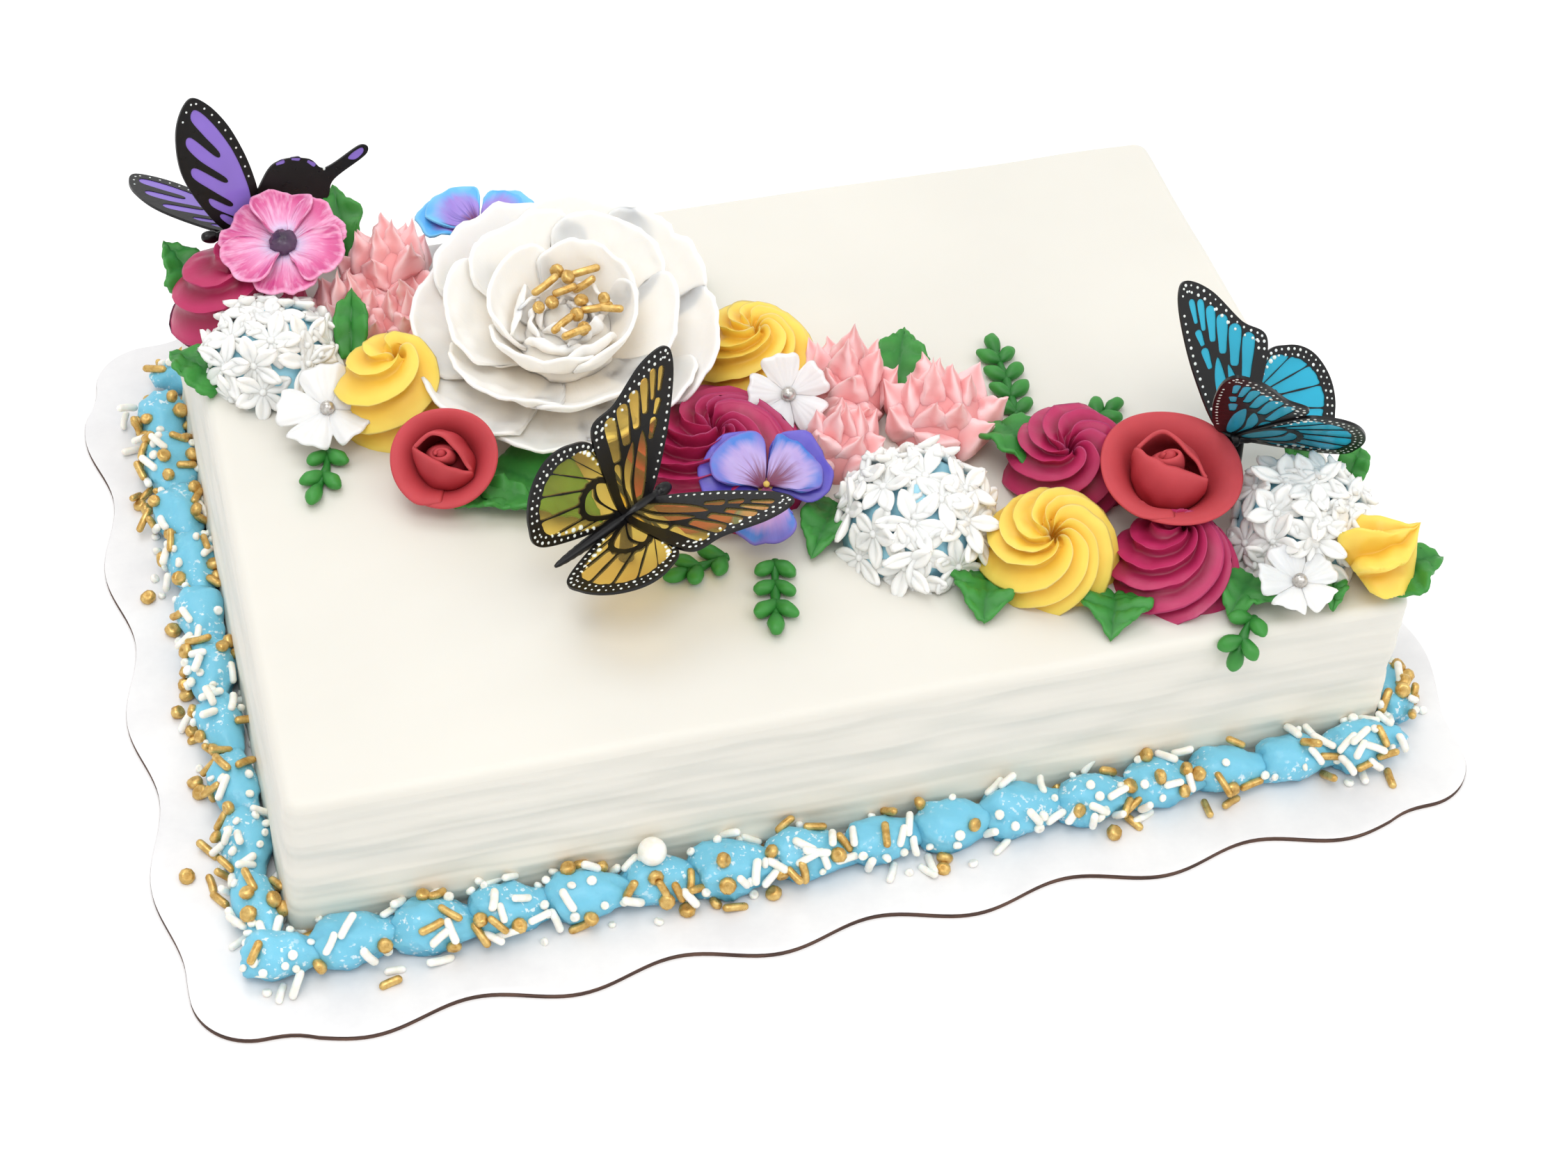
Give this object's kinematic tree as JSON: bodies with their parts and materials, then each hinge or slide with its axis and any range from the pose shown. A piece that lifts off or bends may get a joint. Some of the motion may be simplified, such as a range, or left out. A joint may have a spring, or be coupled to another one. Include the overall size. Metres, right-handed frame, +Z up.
{
  "type": "sheet cake",
  "caption": "Rectangular iced sheet cake on a scalloped board, with a piped bead border, sprinkles and a diagonal spray of piped swirls, sugar flowers, leaves and plastic butterflies.",
  "frame": {"origin": "middle of the board's underside, on the surface the board lies on", "axes": "+X along the cake's long side to the right, +Y towards the back long side, +Z up"},
  "size_m": [0.3944, 0.302, 0.1208],
  "materials": {
    "board": "white card face with a faint sheen, dark brown cut edge",
    "icing_white": "smooth ivory buttercream",
    "icing_blue": "soft sky-blue buttercream",
    "icing_yellow": "soft golden-yellow buttercream",
    "icing_magenta": "soft magenta buttercream",
    "icing_pink": "soft pink buttercream",
    "icing_green": "soft green buttercream",
    "petal_white": "pearl white sugar paste",
    "petal_red": "matt rose-red sugar paste",
    "petal_pink": "streaked pink printed sugar petals",
    "petal_violet": "blue and violet printed sugar petals",
    "plastic_amber": "clear amber plastic with black veins",
    "plastic_blue": "clear blue plastic with black veins",
    "plastic_purple": "black plastic with purple patches"
  },
  "bodies": {
    "root": {"board": "board", "cake": "icing_white", "border_front": "icing_blue", "border_right": "icing_blue", "border_back": "icing_blue", "border_left": "icing_blue", "butterfly_amber": "plastic_amber", "butterfly_blue": "plastic_blue", "butterfly_purple": "plastic_purple", "peony": "petal_white", "rose_right": "petal_red", "rose_left": "petal_red", "anemone": "petal_pink", "pansy_front": "petal_violet", "pansy_back": "petal_violet", "blossom_left": "petal_white", "blossom_mid": "petal_white", "blossom_right": "petal_white", "rosette_yellow_front": "icing_yellow", "rosette_yellow_back": "icing_yellow", "rosette_yellow_left": "icing_yellow", "star_yellow_right": "icing_yellow", "rosette_magenta_front": "icing_magenta", "rosette_magenta_back": "icing_magenta", "rosette_magenta_mid": "icing_magenta", "rosette_magenta_left": "icing_magenta", "hydrangea_left": "icing_white", "hydrangea_mid": "icing_white", "hydrangea_right": "icing_white", "mum_left_a": "icing_pink", "mum_left_b": "icing_pink", "mum_left_c": "icing_pink", "mum_mid_a": "icing_pink", "mum_mid_b": "icing_pink", "mum_mid_c": "icing_pink", "leaf_right_end": "icing_green", "leaf_right_curl": "icing_green", "leaf_blossom_right": "icing_green", "leaf_yellow_right": "icing_green", "leaf_yellow_left": "icing_green", "leaf_mid_back": "icing_green", "leaf_pink_back": "icing_green", "leaf_hydrangea_mid": "icing_green", "leaf_left_mid": "icing_green", "leaf_rose_a": "icing_green", "leaf_rose_b": "icing_green", "leaf_far_left": "icing_green", "leaf_corner_left": "icing_green", "leaf_corner_back": "icing_green", "leaf_peony_back": "icing_green", "leaf_butterfly_right": "icing_green", "leaf_hydrangea_right": "icing_green", "sprig_left": "icing_green", "sprig_mid_a": "icing_green", "sprig_mid_b": "icing_green", "sprig_back": "icing_green", "sprig_back_b": "icing_green", "sprig_right": "icing_green"}
  },
  "joints": []
}
